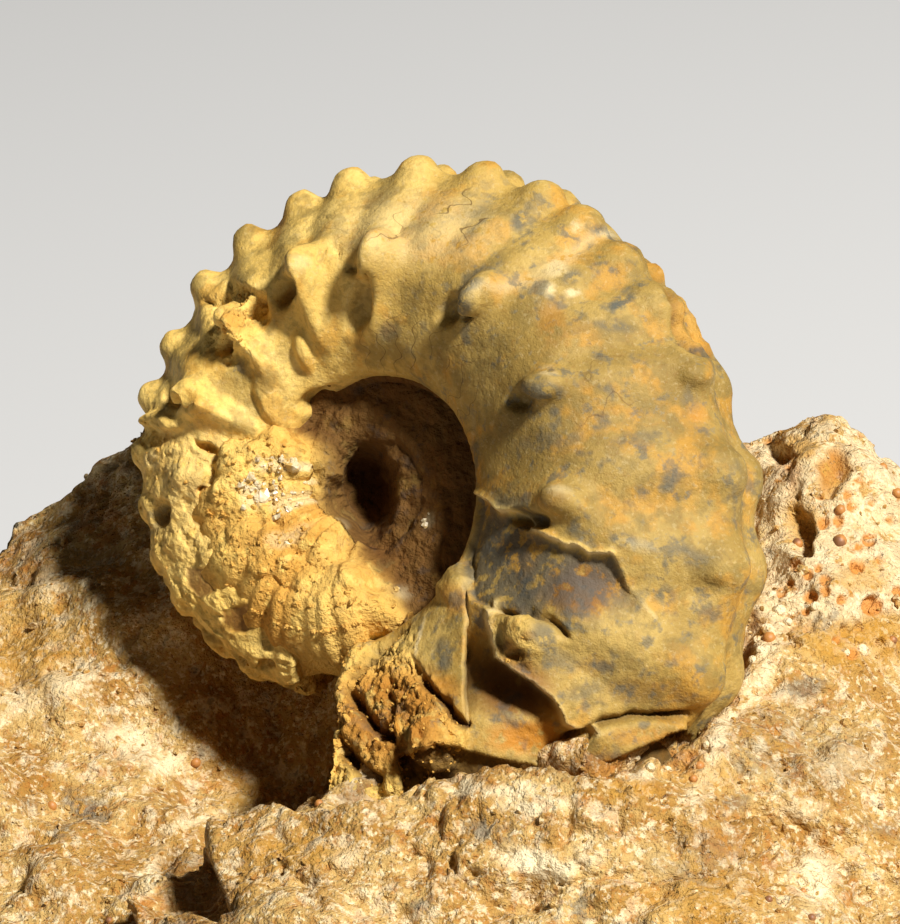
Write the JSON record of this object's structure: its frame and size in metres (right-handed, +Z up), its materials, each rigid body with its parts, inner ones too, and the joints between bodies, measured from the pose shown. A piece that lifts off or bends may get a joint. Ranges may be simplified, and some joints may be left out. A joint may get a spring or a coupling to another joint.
{
  "type": "ammonite fossil in matrix",
  "caption": "Coiled, ribbed and knobbed ammonite fossil standing half sunk in a loose block of oolitic limestone with a flat base.",
  "frame": {"origin": "middle of the block's flat base", "axes": "+Z up; the fossil's near flank faces -Y, a little to -X and upwards; +X is to the viewer's right"},
  "size_m": [0.05, 0.046, 0.0352],
  "materials": {
    "fossil_stone": "matte",
    "oolitic_limestone": "matte"
  },
  "bodies": {
    "root": {"ammonite": "fossil_stone", "matrix": "oolitic_limestone"}
  },
  "joints": []
}
